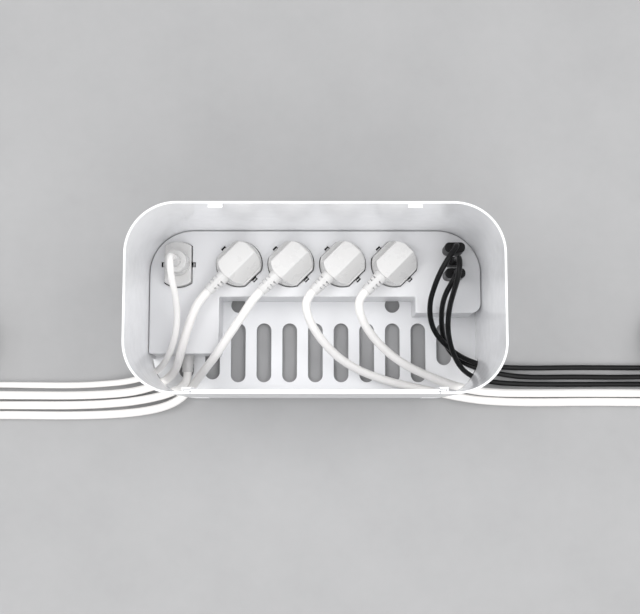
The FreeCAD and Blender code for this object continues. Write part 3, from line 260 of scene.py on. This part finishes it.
def coil_points(wound):
    """A cord's surplus: in on a straight, spiral in, climb a layer, spiral out, and out on a straight."""
    d, turns, blend = wound["diameter"], wound["turns"], COIL_BLEND
    x, y = wound["meets"]
    pitch, half = d + TURN_GAP, turns / 2
    outer = wound["radius"] + pitch * (half - blend) / 2
    outward = 1 if x > 0 else -1
    points = [(x - outward * d, y, wound["low"])]
    count = round(turns * POINTS_PER_TURN)
    for i in range(count + 1):
        u = i * turns / count
        w = min(u, turns - u)
        if w < blend:
            r = outer - pitch * w * w / (2 * blend)
        elif w < half - blend:
            r = outer - pitch * (w - blend / 2)
        else:
            r = outer - pitch * (half - blend) + pitch * (half - w) ** 2 / (2 * blend)
        t = clamp((u - half + blend) / (2 * blend))
        s = clamp((u - turns + blend * 2) / (2 * blend))
        if wound["stacked"]:
            s = clamp((u - turns + TAIL_TURNS * 1.6) / (TAIL_TURNS * 0.8))
            c = clamp((u - turns + TAIL_TURNS) / TAIL_TURNS)
            r -= outer * (1 - TAIL_RADIUS) * c * c * (3 - 2 * c)
        z = wound["low"] + pitch * t * t * (3 - 2 * t) + wound["rise"] * s * s * (3 - 2 * s)
        angle = -math.pi / 2 + outward * 2 * math.pi * u
        points.append((x + r * math.cos(angle), y + outer + r * math.sin(angle), z))
    slope = -math.tan(wound["dip"])
    ahead = Vector((-math.sin(angle) * outward, math.cos(angle) * outward, slope)).normalized()
    return points + [tuple(Vector(points[-1]) + ahead * d)]


ON_THIN, ON_LEAD, ON_USB = coil_top(THIN_D), coil_top(LEAD_D), coil_top(USB_D)
STACKED_1 = ON_THIN + CORD_LIFT + LEAD_D / 2
STACKED_3 = ON_LEAD + CORD_LIFT + LEAD_D / 2
STACKED_USB = ON_USB + CORD_LIFT + USB_D / 2

# Each cord's route in millimetres from its plug, its surplus coil and its whole length in metres
CORDS = {
    "corner_plug_cord": ([
        CORNER_PLUG, (-116.5, 40.5, 96), (-116, 34, 101.5), (-115.5, 24, 98), (-114.5, 15, 87), (-114, 6, 75),
        (-114, -6, 67), (-115.5, -20, 63), (-120.5, -33.5, 55), (-127, -42, 40), (-135.5, -48.5, 24),
        (-147, -53.5, 12.5), (-164, -57.5, 5), (-184, -59.5, THIN_Z), (-212, -61, THIN_Z),
        (-256, -60.5, THIN_Z),
        (-300, -60.3, THIN_Z)],
        coil(THIN_D, 5.25, 28.0, (-343, -60.3)), 1.283),
    "plug_1_cord": (axis_points(1, 11) + [
        (-103.5, -6, 58), (-108.5, -22, 57.5), (-113, -36, 52), (-117, -44.5, 38), (-122, -51, 24),
        (-132, -58.5, 14.5), (-148, -64, 8), (-168, -67.8, LEAD_Z), (-206, -69.8, LEAD_Z),
        (-250, -69.6, LEAD_Z),
        (-278, -69.4, 8), (-305, -69.2, STACKED_1)],
        coil(LEAD_D, 3.25, 40.0, (-333, -69.2), lies_on=ON_THIN), 1.104),
    "mains_lead": ([
        GLAND, (GLAND[0], GLAND[1] - 6.5, GLAND[2]), (-115, -62, 18), (-123, -66.5, 14), (-134, -70, 9.5),
        (-149, -73.2, 5.5), (-170, -76.2, LEAD_Z), (-206, -78.4, LEAD_Z), (-262, -78.2, LEAD_Z),
        (-322, -77.7, LEAD_Z), (-382, -77.8, LEAD_Z)],
        coil(LEAD_D, 5.25, 36.0, (-435, -77.8), nose=PLUG_NOSE), 1.534),
    "plug_2_cord": (axis_points(2, 10) + [
        (-62, -6, 57), (-73, -22, 56), (-83.5, -37.5, 50), (-92.5, -46.5, 37), (-101, -55.5, 22),
        (-110, -66, 12.6),
        (-122, -76, 9.4), (-140, -82, 5.4), (-168, -85.8, LEAD_Z), (-212, -87.4, LEAD_Z),
        (-268, -86.7, LEAD_Z),
        (-326, -86.9, LEAD_Z), (-384, -86.5, LEAD_Z), (-438, -86.9, LEAD_Z), (-486, -86.6, LEAD_Z)],
        coil(LEAD_D, 3.25, 40.0, (-538, -86.6)), 1.379),
    "plug_3_cord": (axis_points(3, 8) + [
        (-8, 0.5, 56), (-2.5, -13, 48), (7.5, -26, 37), (20, -38, 26.5), (37, -48, 18), (58, -56, 13.8),
        (82, -62, 11.8), (106, -67, 11), (129, -71.8, 9.2), (154, -74.8, 5.2), (190, -75.8, LEAD_Z),
        (240, -75.1, LEAD_Z), (290, -75.6, LEAD_Z), (340, -75.3, LEAD_Z), (386, -75.7, LEAD_Z),
        (417, -75.4, 8.5),
        (446, -75.2, STACKED_3)],
        coil(LEAD_D, 3.25, 40.0, (474, -75.2), lies_on=ON_LEAD), 1.331),
    "plug_4_cord": (axis_points(4, 8) + [
        (36.5, 0.5, 56), (41, -10.5, 49), (49, -21, 41), (60, -32, 33), (74, -42, 26.5), (90, -50, 22),
        (106, -56.5, 19.5), (122, -62, 17.5), (140, -66, 12.5), (162, -67.4, 6), (190, -67.7, LEAD_Z),
        (240, -67.3, LEAD_Z), (300, -67.6, LEAD_Z), (360, -67.2, LEAD_Z), (416, -67.0, LEAD_Z)],
        coil(LEAD_D, 3.25, 40.0, (474, -67.0)), 1.315),
    "usb_cord_back": (usb_points("back", 78) + [
        (114, 48, 85), (108, 39.5, 86.5), (102, 29, 82), (98, 18, 73), (95.5, 7, 61.5), (96.5, -6, 50),
        (102, -18, 40), (113, -28.5, 31), (126, -37, 22), (143, -42.8, 13), (164, -45, 5),
        (190, -45.6, USB_Z),
        (228, -44.9, USB_Z), (272, -45.2, USB_Z)],
        coil(USB_D, 4.25, 25.0, (323, -45.2), nose=USB_NOSE), 1.013),
    "usb_cord_front": (usb_points("front", 77) + [
        (115, 26.5, 82), (111, 19.5, 80), (107.5, 12.5, 70.5), (106, 4, 57.5), (107, -8, 42), (110, -20, 28),
        (115.5, -30.5, 18.5), (126, -40, 13), (143, -46.5, 9), (163, -51, 4), (186, -53.8, USB_Z),
        (226, -53.2, USB_Z), (258, -53.6, USB_Z), (281, -53.5, 6), (302, -53.4, STACKED_USB)],
        coil(USB_D, 4.25, 25.0, (323, -53.4), nose=USB_NOSE, lies_on=ON_USB), 0.969),
    "usb_cord_middle": (usb_points("middle", 82) + [
        (116.8, 38.5, 91), (116, 30, 95.5), (114.5, 20.5, 91), (112.8, 12, 79), (111.3, 2, 65),
        (111, -11, 53.5),
        (113, -23.5, 46), (117.5, -35, 37), (125, -46, 24.5), (136, -53.5, 13.5), (154, -58, 5.5),
        (178, -59.6, USB_Z), (218, -59.9, USB_Z), (274, -59.6, USB_Z), (334, -60.0, USB_Z)],
        coil(USB_D, 3.25, 25.0, (390, -60.0), nose=USB_NOSE), 0.928),
}


def lay_cord(name, route, surplus):
    """One smooth line through the route and its coil, as a round cord."""
    points = [Vector(p) * MM for p in route + coil_points(surplus)]
    curve = bpy.data.curves.new(name + "_line", "CURVE")
    curve.dimensions = "3D"
    spline = curve.splines.new("NURBS")
    spline.points.add(len(points) - 1)
    for control, place in zip(spline.points, points):
        control.co = (*place, 1.0)
    spline.order_u = 3
    spline.use_endpoint_u = True
    spline.resolution_u = LINE_STEPS
    curve.bevel_depth = surplus["diameter"] / 2 * MM
    curve.bevel_resolution = ROUND_STEPS
    curve.use_fill_caps = True
    cord = bpy.data.objects.new(name + "_run", curve)
    bpy.context.scene.collection.objects.link(cord)
    black = name.startswith("usb")
    curve.materials.append(CORD_BLACK if black else CORD_WHITE)
    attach(cord, "box")
    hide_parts(name, name + "_coil")
    end = nodes[name + ("_plug" if name == "mains_lead" else "_connector")]
    paint(CHARGER_BLACK if black else PLUG_WHITE, end.name)


for cord_name, (route, surplus, length) in CORDS.items():
    lay_cord(cord_name, route, surplus)


# Floor, light and camera

def stage_floor():
    mesh = bpy.data.meshes.new("floor")
    corners = [(x * FLOOR_HALF, y * FLOOR_HALF, 0) for x, y in ((-1, -1), (1, -1), (1, 1), (-1, 1))]
    mesh.from_pydata(corners, [], [(0, 1, 2, 3)])
    floor = bpy.data.objects.new("floor", mesh)
    bpy.context.scene.collection.objects.link(floor)
    mesh.materials.append(plastic("floor_pale", (0.38, 0.38, 0.385), (0.36, 0.36, 0.365), 0.75, 3.0, 0.00002))


def area_light(name, place, aim, size, power):
    light = bpy.data.lights.new(name, "AREA")
    light.shape = "RECTANGLE"
    light.size, light.size_y = size
    light.energy = power
    made = bpy.data.objects.new(name, light)
    made.location = place
    made.rotation_mode = "QUATERNION"
    made.rotation_quaternion = (Vector(aim) - Vector(place)).to_track_quat("-Z", "Y")
    bpy.context.scene.collection.objects.link(made)


stage_floor()
for light_facts in LIGHTS:
    area_light(*light_facts)
world = bpy.data.worlds.new("studio")
world.use_nodes = True
world.node_tree.nodes["Background"].inputs["Color"].default_value = (1.0, 1.0, 1.0, 1.0)
world.node_tree.nodes["Background"].inputs["Strength"].default_value = WORLD_LIGHT
bpy.context.scene.world = world
bpy.context.scene.view_settings.view_transform = "Standard"

camera_data = bpy.data.cameras.new("camera")
camera_data.sensor_width = SENSOR_MM
camera_data.lens = CAMERA_FOCAL_PX * SENSOR_MM / PICTURE_WIDTH_PX
camera_data.clip_start = CLIP_START
camera = bpy.data.objects.new("camera", camera_data)
camera.location = CAMERA_PLACE
camera.rotation_euler = [math.radians(a) for a in CAMERA_TILT]
bpy.context.scene.collection.objects.link(camera)
bpy.context.scene.camera = camera
